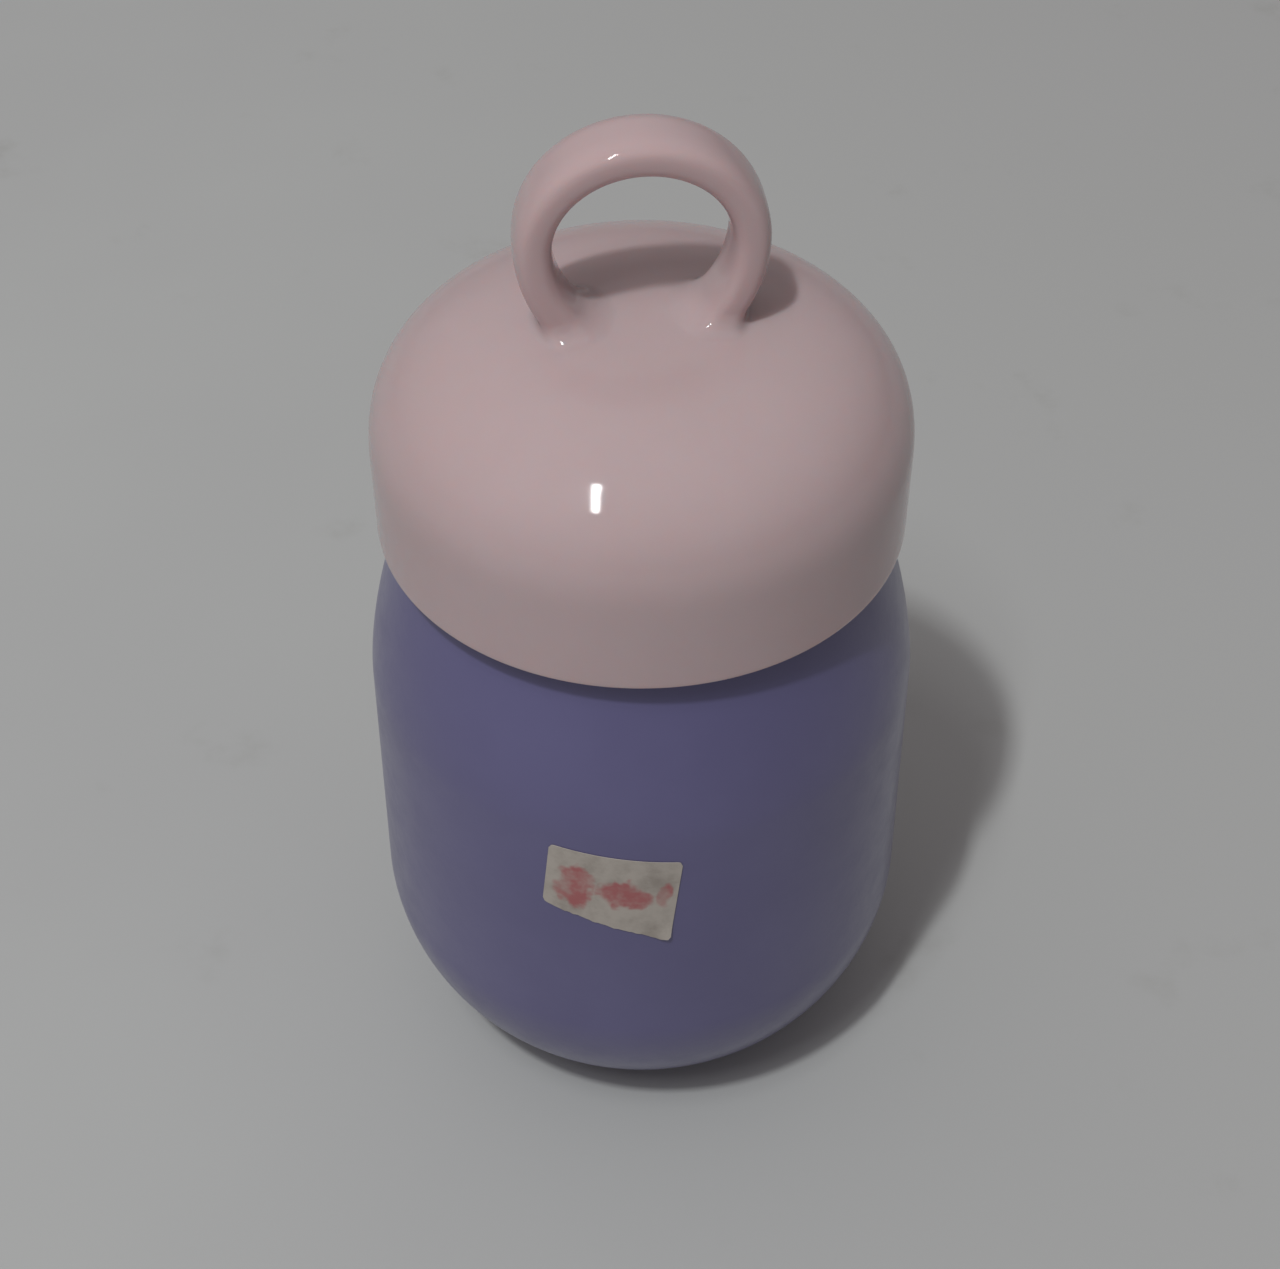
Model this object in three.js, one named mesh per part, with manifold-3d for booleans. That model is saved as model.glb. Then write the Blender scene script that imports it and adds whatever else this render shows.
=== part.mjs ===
// A small double-walled steel flask with a domed screw lid that carries a finger loop.
// Millimetres, +Z up. The origin is the centre of the base on the flask's axis, and the
// loop lies in the XZ plane. Pieces that touch in the real flask are drawn 0.3 mm apart.

import * as THREE from "three";
import { mergeVertices } from "three/addons/utils/BufferGeometryUtils.js";
import Module from "manifold-3d";

// Driving dimensions
const GAP = 0.3; // left between two pieces that touch
const STEEL = 0.8; // wall of the pressed steel pieces
const SEGMENTS = 36; // facets round the axis

const FOOT_RADIUS = 19.3; // inner edge of the outer shell's underside
const FOOT_HEIGHT = 0.8; // the shell stands this far above the pad's underside
const CORNER_HEIGHT = 27.5; // where the big lower corner has become the wall
const CORNER_POWER = 1.8; // superellipse power of the lower corner
const WALL_RADIUS_LOW = 38.8; // widest, at the top of that corner
const WALL_RADIUS = 38.5;
const SHOULDER_START = 66.9;
const SHOULDER_POWER = 1.54; // 1 would be a cone, 2 a parabola
const SEAM_RADIUS = 32.4;
const SEAM_HEIGHT = 93.1; // flat step that the lid closes on

const NECK_RADIUS = 29.5;
const NECK_WALL = 1.3;
const NECK_RISE = 11.8; // of the threaded neck above the step
const NECK_FLANGE = 31.4;
const FLANGE_THICKNESS = 1.2;

const LINER_RADIUS = 34.2; // outside of the inner bottle
const LINER_FLOOR = 6.5; // its underside
const LINER_FLAT = 18; // radius of its flat floor
const LINER_CORNER = 20;
const LINER_SHOULDER = 72; // where the inner bottle starts to narrow
const LINER_NECK_START = 89.2;
const LINER_NECK_RADIUS = NECK_RADIUS - NECK_WALL - GAP;

const LID_EDGE_RADIUS = 35.9;
const LID_RADIUS = 36;
const LID_EDGE_LIFT = 0.5; // of the lid's lower edge above the step
const DOME_START = 106.1;
const DOME_TOP = 126;
const DOME_POWER = 2.46; // superellipse power of the dome
const LID_WALL = 1.9;

const LOOP_HALF_WIDTH = 13.6; // from the axis to the middle of the band, where the loop is widest
const LOOP_LIFT = 11.2; // of that widest level above the dome's top
const LOOP_CROWN = 12.9; // rise of the band's middle above the widest level
const LOOP_DROP = 15.5; // fall that the same curve would have below it
const LOOP_THICKNESS = 5;
const LOOP_DEPTH = 9.6;
const LOOP_POWER = 3; // superellipse power of the band's section
const LOOP_SWEEP = THREE.MathUtils.degToRad(2 * 150); // its feet end inside the dome's wall
const LOOP_STEPS = 28; // pieces along the band
const LOOP_SECTION_STEPS = 12;

const CUP_RADIUS = 33.3; // outside of the threaded cup inside the lid
const CUP_BORE = 31.4;
const CUP_LIFT = 0.9;
const CUP_CEILING = SEAM_HEIGHT + 15.3;
const CUP_ROOF = 1.8;
const KEEPER_INNER = 24; // ring under the cup's roof that centres the gasket
const KEEPER_OUTER = 26.2;
const KEEPER_DROP = 3.1;

const FOAM_RADIUS = 28.5; // insulating disc between the cup and the dome
const FOAM_HEIGHT = 6;
const FOAM_CHAMFER = 1;

const GASKET_KEEPER_PLAY = 0.4;
const GASKET_CUP_PLAY = 0.6;
const GASKET_CHAMFER = 0.5;

const THREAD_LEAD = 8; // rise in one turn
const THREAD_STARTS = 2;
const THREAD_ROOT_WIDTH = 1.7;
const THREAD_CREST_WIDTH = 0.9;
const THREAD_SINK = 0.3; // of a rib into the wall that carries it
const THREAD_STEP = THREE.MathUtils.degToRad(14.5); // angle of one piece of a rib
const NECK_CREST = 30.9;
const CUP_CREST = 29.95;
const NECK_RIB_START = SEAM_HEIGHT + 3;
const NECK_RIB_SWEEP = THREE.MathUtils.degToRad(290);
const CUP_RIB_DELAY = THREE.MathUtils.degToRad(60);
const CUP_RIB_SWEEP = THREE.MathUtils.degToRad(190);
const RUN_OUT = THREE.MathUtils.degToRad(18); // over which a rib grows from its wall
const RUN_OUT_START = 0.15; // share of its reach that a rib's end keeps, inside the wall

const PLATE_UNDER = 2.3; // underside of the plate that is welded into the base
const PLATE_RADIUS = FOOT_RADIUS - 0.4;
const DIMPLE_RADIUS = 3.2; // it holds the hole that the air was drawn out by
const DIMPLE_DEPTH = 1.5;
const DIMPLE_HOLE = 0.9;
const DIMPLE_SLOPE = 0.6;
const BEAD_RADIUS = 2.3; // drop of solder glass over that hole
const BEAD_TOP_RADIUS = 1.6;
const BEAD_HEIGHT = 0.9;
const BEAD_LIFT = 0.8; // of its middle above the plate's underside
const GETTER_RADIUS = 4.5;
const GETTER_HEIGHT = 1.6;
const GETTER_LIFT = 1.2; // of its middle above the plate
const GETTER_OFFSET = 10; // from the axis
const PAD_RADIUS = PLATE_RADIUS - 0.4;
const PAD_CHAMFER = 0.4;

const LABEL_TURN = THREE.MathUtils.degToRad(-12); // round the axis from -Y
const LABEL_TILT = THREE.MathUtils.degToRad(-6);
const LABEL_HEIGHT = 57.5;
const LABEL_HALF_WIDTH = 9.1;
const LABEL_TOP = 6.9;
const LABEL_BOTTOM_RIGHT = -8.9;
const LABEL_BOTTOM_LEFT = -5; // the lower edge is torn off at a slant
const LABEL_PAPER = 0.2;
const LABEL_REACH = 11; // the skin that it is cut from spans this much up and down
const LABEL_ROWS = 5;

const wasm = await Module();
wasm.setup();

const point = (radius, height) => new THREE.Vector2(radius, height);

// A closed geometry as a solid for joining and cutting.
function toSolid(geometry) {
  const bare = geometry.clone();
  bare.deleteAttribute("normal");
  bare.deleteAttribute("uv");
  const merged = mergeVertices(bare, 1e-4);
  return new wasm.Manifold(
    new wasm.Mesh({
      numProp: 3,
      vertProperties: merged.attributes.position.array,
      triVerts: new Uint32Array(merged.index.array),
    }),
  );
}

function toGeometry(solid) {
  const mesh = solid.getMesh();
  const geometry = new THREE.BufferGeometry();
  geometry.setAttribute("position", new THREE.BufferAttribute(mesh.vertProperties, mesh.numProp));
  geometry.setIndex(new THREE.BufferAttribute(mesh.triVerts, 1));
  geometry.computeVertexNormals();
  return geometry;
}

// Turns a profile of (radius, height) points round +Z. The profile is an open chain that
// starts and ends on the axis, or a chain that this closes on itself.
function revolve(profile, segments = SEGMENTS) {
  const onAxis = profile[0].x === 0 && profile.at(-1).x === 0;
  const chain = onAxis ? [...profile] : [...profile, profile[0].clone()];
  if (THREE.ShapeUtils.area(chain) < 0) chain.reverse();
  return new THREE.LatheGeometry(chain, segments).rotateX(Math.PI / 2);
}

// A quarter of a superellipse between two points. At `from` the curve runs along the radius
// when `flatFirst`, or along the axis if not, and at `to` it runs the other way.
function quarter(from, to, power, steps, flatFirst) {
  return Array.from({ length: steps + 1 }, (_, i) => {
    const angle = (i / steps) * (Math.PI / 2);
    const rise = Math.sin(angle) ** (2 / power);
    const fall = 1 - Math.max(0, Math.cos(angle)) ** (2 / power);
    const [across, up] = flatFirst ? [rise, fall] : [fall, rise];
    return point(from.x + (to.x - from.x) * across, from.y + (to.y - from.y) * up);
  });
}

// The same curve moved `distance` to its left, as seen along it.
function offset(curve, distance) {
  return curve.map((here, i) => {
    const before = curve[Math.max(0, i - 1)];
    const after = curve[Math.min(curve.length - 1, i + 1)];
    const along = after.clone().sub(before).normalize();
    return point(here.x - along.y * distance, here.y + along.x * distance);
  });
}

// The flask's outer curve, from its underside up to the step under the lid.
function bodyCurve() {
  const foot = point(FOOT_RADIUS, FOOT_HEIGHT);
  const wallLow = point(WALL_RADIUS_LOW, CORNER_HEIGHT);
  const steps = 6;
  const shoulder = Array.from({ length: steps + 1 }, (_, i) => {
    const share = i / steps;
    const radius = WALL_RADIUS - (WALL_RADIUS - SEAM_RADIUS) * share ** SHOULDER_POWER;
    return point(radius, SHOULDER_START + (SEAM_HEIGHT - SHOULDER_START) * share);
  });
  return [...quarter(foot, wallLow, CORNER_POWER, 7, true), ...shoulder];
}

function outerShell() {
  const outside = bodyCurve();
  const inside = offset(outside, STEEL).map((p) => point(p.x, Math.min(p.y, SEAM_HEIGHT - STEEL)));
  inside[0].set(FOOT_RADIUS, FOOT_HEIGHT + STEEL);
  const hole = NECK_RADIUS + GAP;
  return revolve([
    ...outside,
    point(hole, SEAM_HEIGHT),
    point(hole, SEAM_HEIGHT - STEEL),
    ...inside.reverse(),
  ]);
}

function innerLiner() {
  const outside = [
    point(0, LINER_FLOOR),
    ...quarter(
      point(LINER_FLAT, LINER_FLOOR),
      point(LINER_RADIUS, LINER_FLOOR + LINER_CORNER),
      CORNER_POWER,
      5,
      true,
    ),
    ...quarter(
      point(LINER_RADIUS, LINER_SHOULDER),
      point(LINER_NECK_RADIUS, LINER_NECK_START),
      2,
      4,
      false,
    ),
  ];
  const lip = SEAM_HEIGHT + NECK_RISE + GAP;
  const inside = offset(outside, STEEL);
  inside[0].set(0, LINER_FLOOR + STEEL);
  inside.at(-1).set(LINER_NECK_RADIUS - STEEL, LINER_NECK_START - STEEL);
  return revolve([
    ...outside,
    point(LINER_NECK_RADIUS, lip),
    point(NECK_RADIUS, lip),
    point(NECK_RADIUS, lip + STEEL),
    point(LINER_NECK_RADIUS - STEEL, lip + STEEL),
    ...inside.reverse(),
  ]);
}

// One helical rib of the screw thread. A straight bar is bent round the axis: its depth
// becomes the angle, and its ends sink into the wall.
function threadRib(wallRadius, crestRadius, startAngle, sweep, startHeight) {
  const outward = Math.sign(crestRadius - wallRadius);
  const root = wallRadius - outward * THREAD_SINK;
  const reach = crestRadius - root;
  const section = new THREE.Shape([
    point(0, -THREAD_ROOT_WIDTH / 2),
    point(reach, -THREAD_CREST_WIDTH / 2),
    point(reach, THREAD_CREST_WIDTH / 2),
    point(0, THREAD_ROOT_WIDTH / 2),
  ]);
  const bar = new THREE.ExtrudeGeometry(section, {
    depth: sweep,
    steps: Math.ceil(sweep / THREAD_STEP),
    bevelEnabled: false,
  });
  const place = bar.attributes.position;
  for (let i = 0; i < place.count; i++) {
    const along = place.getZ(i);
    const grown = Math.min(1, RUN_OUT_START + Math.min(along, sweep - along) / RUN_OUT);
    const radius = root + place.getX(i) * grown;
    const angle = startAngle + along;
    const height = startHeight + (THREAD_LEAD * along) / (2 * Math.PI) - place.getY(i);
    place.setXYZ(i, radius * Math.cos(angle), radius * Math.sin(angle), height);
  }
  return bar;
}

function withThread(piece, wallRadius, crestRadius, delay, sweep, firstHeight) {
  let solid = toSolid(piece);
  for (let start = 0; start < THREAD_STARTS; start++) {
    const angle = (start / THREAD_STARTS) * 2 * Math.PI + delay;
    solid = solid.add(toSolid(threadRib(wallRadius, crestRadius, angle, sweep, firstHeight)));
  }
  return toGeometry(solid);
}

function neckRing() {
  const flangeTop = SEAM_HEIGHT - STEEL - GAP;
  const bore = NECK_RADIUS - NECK_WALL;
  const ring = revolve([
    point(bore, flangeTop - FLANGE_THICKNESS),
    point(NECK_FLANGE, flangeTop - FLANGE_THICKNESS),
    point(NECK_FLANGE, flangeTop),
    point(NECK_RADIUS, flangeTop),
    point(NECK_RADIUS, SEAM_HEIGHT + NECK_RISE),
    point(bore, SEAM_HEIGHT + NECK_RISE),
  ]);
  return withThread(ring, NECK_RADIUS, NECK_CREST, 0, NECK_RIB_SWEEP, NECK_RIB_START);
}

function lidCup() {
  const edge = SEAM_HEIGHT + CUP_LIFT;
  const cup = revolve([
    point(0, CUP_CEILING),
    point(KEEPER_INNER, CUP_CEILING),
    point(KEEPER_INNER, CUP_CEILING - KEEPER_DROP),
    point(KEEPER_OUTER, CUP_CEILING - KEEPER_DROP),
    point(KEEPER_OUTER, CUP_CEILING),
    point(CUP_BORE, CUP_CEILING),
    point(CUP_BORE, edge),
    point(CUP_RADIUS, edge),
    point(CUP_RADIUS, CUP_CEILING + CUP_ROOF),
    point(0, CUP_CEILING + CUP_ROOF),
  ]);
  // Half a thread spacing below the neck's ribs, so the ribs of the lid lie between them.
  const halfSpacing = THREAD_LEAD / THREAD_STARTS / 2;
  const first = NECK_RIB_START - halfSpacing + (THREAD_LEAD * CUP_RIB_DELAY) / (2 * Math.PI);
  return withThread(cup, CUP_BORE, CUP_CREST, CUP_RIB_DELAY, CUP_RIB_SWEEP, first);
}

// The lid's outer curve, from its lower edge to the dome's top on the axis.
function lidCurve() {
  const edge = point(LID_EDGE_RADIUS, SEAM_HEIGHT + LID_EDGE_LIFT);
  const widest = point(LID_RADIUS, DOME_START);
  const top = point(0, DOME_TOP);
  return [edge, ...quarter(widest, top, DOME_POWER, 10, false)];
}

// The finger loop: a flat band with round edges, bent to an arch. A straight bar is bent
// along the arch, so its depth becomes the angle at which it stands.
function fingerLoop() {
  const power = 2 / LOOP_POWER;
  const rounded = (share) => Math.sign(share) * Math.abs(share) ** power;
  const section = new THREE.Shape(
    Array.from({ length: LOOP_SECTION_STEPS }, (_, i) => {
      const angle = (i / LOOP_SECTION_STEPS) * 2 * Math.PI;
      const across = (rounded(Math.cos(angle)) * LOOP_THICKNESS) / 2;
      return point(across, (rounded(Math.sin(angle)) * LOOP_DEPTH) / 2);
    }),
  );
  const bar = new THREE.ExtrudeGeometry(section, {
    depth: LOOP_SWEEP,
    steps: LOOP_STEPS,
    bevelEnabled: false,
  });
  const place = bar.attributes.position;
  for (let i = 0; i < place.count; i++) {
    const angle = place.getZ(i) - LOOP_SWEEP / 2;
    const rise = Math.cos(angle) > 0 ? LOOP_CROWN : LOOP_DROP;
    const outward = point(rise * Math.sin(angle), LOOP_HALF_WIDTH * Math.cos(angle)).normalize();
    const x = LOOP_HALF_WIDTH * Math.sin(angle) + outward.x * place.getX(i);
    const z = rise * Math.cos(angle) + outward.y * place.getX(i);
    place.setXYZ(i, x, -place.getY(i), DOME_TOP + LOOP_LIFT + z);
  }
  return bar;
}

function lidCap() {
  const outside = lidCurve();
  const inside = offset(outside, LID_WALL);
  inside[0].y = outside[0].y;
  inside.at(-1).set(0, DOME_TOP - LID_WALL);
  const edge = outside[0].y;
  const hollow = revolve([point(0, edge - 1), point(inside[0].x, edge - 1), ...inside]);
  const dome = revolve([point(0, edge), ...outside]);
  return toGeometry(toSolid(dome).add(toSolid(fingerLoop())).subtract(toSolid(hollow)));
}

function lidFoam() {
  const under = CUP_CEILING + CUP_ROOF + GAP;
  const top = under + FOAM_HEIGHT;
  return revolve([
    point(0, under),
    point(FOAM_RADIUS, under),
    point(FOAM_RADIUS, top - FOAM_CHAMFER),
    point(FOAM_RADIUS - FOAM_CHAMFER, top),
    point(0, top),
  ]);
}

function lidGasket() {
  const top = CUP_CEILING - GAP;
  const under = SEAM_HEIGHT + NECK_RISE + GAP + STEEL + GAP;
  const inner = KEEPER_OUTER + GASKET_KEEPER_PLAY;
  const outer = CUP_BORE - GASKET_CUP_PLAY;
  return revolve([
    point(inner + GASKET_CHAMFER, under),
    point(outer - GASKET_CHAMFER, under),
    point(outer, under + GASKET_CHAMFER),
    point(outer, top),
    point(inner, top),
    point(inner, under + GASKET_CHAMFER),
  ]);
}

// The welded base plate, with a dimple round its hole.
function basePlate() {
  const roof = PLATE_UNDER + DIMPLE_DEPTH;
  return revolve([
    point(DIMPLE_HOLE, roof),
    point(DIMPLE_RADIUS, roof),
    point(DIMPLE_RADIUS + DIMPLE_SLOPE, PLATE_UNDER),
    point(PLATE_RADIUS, PLATE_UNDER),
    point(PLATE_RADIUS, PLATE_UNDER + STEEL),
    point(DIMPLE_RADIUS + 2 * DIMPLE_SLOPE, PLATE_UNDER + STEEL),
    point(DIMPLE_RADIUS + DIMPLE_SLOPE, roof + STEEL),
    point(DIMPLE_HOLE, roof + STEEL),
  ]);
}

function sealBead() {
  const drop = new THREE.CylinderGeometry(BEAD_TOP_RADIUS, BEAD_RADIUS, BEAD_HEIGHT, 20);
  return drop.rotateX(Math.PI / 2);
}

function getter() {
  const puck = new THREE.CylinderGeometry(GETTER_RADIUS, GETTER_RADIUS, GETTER_HEIGHT, 24);
  return puck.rotateX(Math.PI / 2);
}

function basePad() {
  return revolve([
    point(0, 0),
    point(PAD_RADIUS - PAD_CHAMFER, 0),
    point(PAD_RADIUS, PAD_CHAMFER),
    point(PAD_RADIUS, PLATE_UNDER - GAP),
    point(0, PLATE_UNDER - GAP),
  ]);
}

// The paper label follows the wall: a thin skin round the body, cut to the label's outline.
function priceLabel() {
  const wall = bodyCurve();
  const heights = Array.from(
    { length: LABEL_ROWS },
    (_, i) => LABEL_HEIGHT + LABEL_REACH * ((2 * i) / (LABEL_ROWS - 1) - 1),
  );
  const radiusAt = (height) => {
    const after = wall.findIndex((p) => p.y > height);
    const low = wall[after - 1];
    const share = (height - low.y) / (wall[after].y - low.y);
    return low.x + (wall[after].x - low.x) * share;
  };
  const near = heights.map((z) => point(radiusAt(z) + GAP, z));
  const far = heights.map((z) => point(radiusAt(z) + GAP + LABEL_PAPER, z));
  const skin = revolve([...near, ...far.reverse()]);
  const outline = new THREE.Shape([
    point(-LABEL_HALF_WIDTH, LABEL_BOTTOM_LEFT),
    point(LABEL_HALF_WIDTH, LABEL_BOTTOM_RIGHT),
    point(LABEL_HALF_WIDTH, LABEL_TOP),
    point(-LABEL_HALF_WIDTH, LABEL_TOP),
  ]);
  const cutter = new THREE.ExtrudeGeometry(outline, { depth: 2 * WALL_RADIUS, bevelEnabled: false });
  cutter.rotateZ(LABEL_TILT).rotateX(Math.PI / 2).translate(0, 0, LABEL_HEIGHT).rotateZ(LABEL_TURN);
  return toGeometry(toSolid(skin).intersect(toSolid(cutter)));
}

function finish(color, roughness, metalness) {
  return new THREE.MeshStandardMaterial({ color, roughness, metalness });
}

const lilacCoat = () => finish(0x7d78a6, 0.35, 0.1);
const pinkPlastic = () => finish(0xe3c3c4, 0.22, 0);
const bareSteel = () => finish(0xb9bcc0, 0.3, 1);
const whitePlastic = () => finish(0xe9e6e2, 0.4, 0);

const flask = new THREE.Group();
const lid = new THREE.Group();

function place(group, name, geometry, material, position = [0, 0, 0]) {
  const mesh = new THREE.Mesh(geometry, material);
  mesh.name = name;
  mesh.position.set(...position);
  group.add(mesh);
}

place(flask, "outer_shell", outerShell(), lilacCoat());
place(flask, "inner_liner", innerLiner(), bareSteel());
place(flask, "neck_ring", neckRing(), bareSteel());
place(flask, "base_plate", basePlate(), bareSteel());
place(flask, "vacuum_seal_bead", sealBead(), finish(0x55595e, 0.25, 0), [0, 0, PLATE_UNDER + BEAD_LIFT]);
place(flask, "vacuum_getter", getter(), finish(0x6e7176, 0.6, 0.8), [
  GETTER_OFFSET,
  0,
  PLATE_UNDER + STEEL + GETTER_LIFT,
]);
place(flask, "base_pad", basePad(), finish(0x6d6a80, 0.8, 0));
place(flask, "price_label", priceLabel(), finish(0xdfd8d0, 0.8, 0));
place(lid, "lid_cap", lidCap(), pinkPlastic());
place(lid, "lid_cup", lidCup(), whitePlastic());
place(lid, "lid_foam", lidFoam(), finish(0xf1efea, 0.95, 0));
place(lid, "lid_gasket", lidGasket(), finish(0xe8ecee, 0.5, 0));

const assembly = new THREE.Group();
assembly.add(flask, lid);

export default assembly;
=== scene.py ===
"""A small insulated flask with a domed screw lid and a finger loop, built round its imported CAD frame.
Metres, +Z up along the flask's axis, +X along the plane of the loop."""

import math
import random

import bpy
import numpy as np
from mathutils import Matrix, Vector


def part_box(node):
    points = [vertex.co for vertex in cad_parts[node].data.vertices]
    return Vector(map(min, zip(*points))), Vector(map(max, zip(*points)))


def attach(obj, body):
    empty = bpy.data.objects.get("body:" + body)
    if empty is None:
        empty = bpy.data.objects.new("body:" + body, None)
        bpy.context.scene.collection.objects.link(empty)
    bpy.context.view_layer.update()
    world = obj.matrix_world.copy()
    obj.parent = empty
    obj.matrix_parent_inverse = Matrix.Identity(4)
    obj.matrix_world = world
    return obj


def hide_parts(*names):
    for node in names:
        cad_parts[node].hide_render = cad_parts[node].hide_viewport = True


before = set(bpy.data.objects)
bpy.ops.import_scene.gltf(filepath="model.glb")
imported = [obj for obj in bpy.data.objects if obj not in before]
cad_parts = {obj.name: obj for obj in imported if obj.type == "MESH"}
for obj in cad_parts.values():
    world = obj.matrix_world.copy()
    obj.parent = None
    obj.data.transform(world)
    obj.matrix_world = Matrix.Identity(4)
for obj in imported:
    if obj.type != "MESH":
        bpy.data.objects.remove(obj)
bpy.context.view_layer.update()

MM = 0.001

# Sizes and places that the frame's boxes give
SHELL_LOW, SHELL_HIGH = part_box("outer_shell")
LINER_LOW, LINER_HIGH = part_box("inner_liner")
NECK_LOW, NECK_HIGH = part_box("neck_ring")
CUP_LOW, CUP_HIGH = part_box("lid_cup")
CAP_LOW, CAP_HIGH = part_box("lid_cap")
FOAM_LOW, FOAM_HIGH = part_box("lid_foam")
GASKET_LOW, GASKET_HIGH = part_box("lid_gasket")
PLATE_LOW, PLATE_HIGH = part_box("base_plate")
_, PAD_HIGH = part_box("base_pad")
BEAD_LOW, BEAD_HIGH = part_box("vacuum_seal_bead")
GETTER_LOW, GETTER_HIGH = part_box("vacuum_getter")

# Shapes that a box can't show, as in the CAD
STEEL = 0.8 * MM
FOOT_RADIUS = PLATE_HIGH.x + 0.4 * MM
CORNER_HEIGHT = 27.5 * MM
CORNER_POWER = 1.8
WALL_RADIUS_LOW = SHELL_HIGH.x  # widest, at the top of the lower corner
WALL_RADIUS = SHELL_HIGH.x - 0.3 * MM
SHOULDER_START = 66.9 * MM
SHOULDER_POWER = 1.54
SEAM_RADIUS = 32.4 * MM
NECK_RADIUS = 29.5 * MM
NECK_WALL = 1.3 * MM
NECK_BORE = NECK_RADIUS - NECK_WALL
FLANGE = 1.2 * MM
LINER_FLAT = 18 * MM
LINER_CORNER = 20 * MM
LINER_SHOULDER = 72 * MM
LINER_NECK_START = 89.2 * MM
LINER_NECK = NECK_BORE - 0.3 * MM
DOME_START = 106.1 * MM
DOME_TOP = 126 * MM
DOME_POWER = 2.46
LID_EDGE_NARROWING = 0.1 * MM
LID_WALL = 1.9 * MM
LOOP_HALF_WIDTH = 13.6 * MM
LOOP_LEVEL = DOME_TOP + 11.2 * MM
LOOP_CROWN = 12.9 * MM
LOOP_DROP = 15.5 * MM
LOOP_THICKNESS = 5 * MM
LOOP_DEPTH = 9.6 * MM
LOOP_POWER = 3
LOOP_FILLET = 2.6 * MM
CUP_BORE = 31.4 * MM
CUP_ROOF = 1.8 * MM
KEEPER_INNER = 24 * MM
KEEPER_OUTER = 26.2 * MM
KEEPER_DROP = 3.1 * MM
THREAD_LEAD = 8 * MM
THREAD_STARTS = 2
THREAD_ROOT = 1.7 * MM
THREAD_CREST = 0.9 * MM
RUN_OUT = math.radians(18)
NECK_RIB = 1.4 * MM
NECK_RIB_LIFT = 3 * MM
NECK_RIB_SWEEP = math.radians(290)
CUP_RIB = 1.45 * MM
CUP_RIB_DELAY = math.radians(60)
CUP_RIB_SWEEP = math.radians(190)
LABEL_TURN = math.radians(-12)
LABEL_TILT = math.radians(-6)
LABEL_LEVEL = 57.5 * MM
LABEL_HALF_WIDTH = 9.1 * MM
LABEL_TOP = 6.9 * MM
LABEL_BOTTOM_RIGHT = -8.9 * MM
LABEL_BOTTOM_LEFT = -5 * MM
DIMPLE_HOLE = 0.9 * MM
DIMPLE_RADIUS = 3.2 * MM
DIMPLE_RIM = 3.8 * MM
DISH_RADIUS = 14 * MM  # of the base plate's lower middle
DISH_STEP = 0.4 * MM

FINE = 192  # facets round the axis
FINE_THREADED = 288
SHARP = 35  # degrees between two faces from which their edge stays sharp
SHARP_THREADED = 50
THREAD_ROW = 0.16 * MM  # spacing of the rows that carry a thread

# The view and the light that the flask stands in, round the axis from -Y
CAMERA_TURN = math.radians(-6)
CAMERA_DISTANCE = 248.6 * MM  # from the axis, level
CAMERA_HEIGHT = 306.7 * MM
CAMERA_TILT = math.radians(43.71)  # downwards
CAMERA_PAN = math.radians(2.09)  # to the left, so that the flask stands right of the view's axis
CAMERA_ROLL = math.radians(-1.4)
CAMERA_LENS = 67.5  # millimetres on a 36 mm sensor
CAMERA_SHIFT = 0.0490  # brings the flask back to the middle of the picture
LIGHT_TURN = math.radians(-36)
LIGHT_ELEVATION = math.radians(63)
LIGHT_LEAN = math.radians(20)  # of the long sides, to the left
LIGHT_COLOUR = (0.968, 1, 0.988)
LIGHT_AIM = 80 * MM  # height on the axis that the lights face
# Name, distance, two sides, watts, and whether glossy surfaces mirror it
LIGHTS = (
    ("lamp", 2.45, (0.08, 0.16), 22, False),
    ("tube", 2.40, (0.10, 0.85), 11, True),
)
SKY_COLOUR = (0.92, 0.875, 0.87, 1)
SKY_AT_HORIZON = 0.14
SKY_OVERHEAD = 0.40
SKY_TO_THE_LEFT = 0.10  # what the left adds and the right takes away
FLOOR_HALF = 4.0


# ---------------------------------------------------------------- curves


def quarter(start, end, power, steps, flat_first):
    """A quarter of a superellipse between two (radius, height) points."""
    angle = np.linspace(0, math.pi / 2, steps + 1)
    rise = np.sin(angle) ** (2 / power)
    fall = 1 - np.clip(np.cos(angle), 0, 1) ** (2 / power)
    across, up = (rise, fall) if flat_first else (fall, rise)
    radii = start[0] + (end[0] - start[0]) * across
    heights = start[1] + (end[1] - start[1]) * up
    return [(float(r), float(z)) for r, z in zip(radii, heights)]


def offset(curve, distance):
    """The curve moved to its left, as seen along it."""
    points = np.array(curve)
    along = np.gradient(points, axis=0)
    along /= np.linalg.norm(along, axis=1)[:, None]
    moved = points + distance * np.stack([-along[:, 1], along[:, 0]], -1)
    return [(float(r), float(z)) for r, z in moved]


def rounded(corners, steps=5):
    """A closed chain of (radius, height[, rounding]) corners, with the rounded ones turned into arcs."""
    made = []
    count = len(corners)
    for i, corner in enumerate(corners):
        here = np.array(corner[:2])
        rounding = corner[2] if len(corner) > 2 else 0
        if not rounding:
            made.append(tuple(here))
            continue
        back = np.array(corners[i - 1][:2]) - here
        ahead = np.array(corners[(i + 1) % count][:2]) - here
        first = here + back / np.linalg.norm(back) * rounding
        last = here + ahead / np.linalg.norm(ahead) * rounding
        for share in np.linspace(0, 1, steps + 1):
            bend = (1 - share) ** 2 * first + 2 * share * (1 - share) * here + share**2 * last
            made.append((float(bend[0]), float(bend[1])))
    return made


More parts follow.
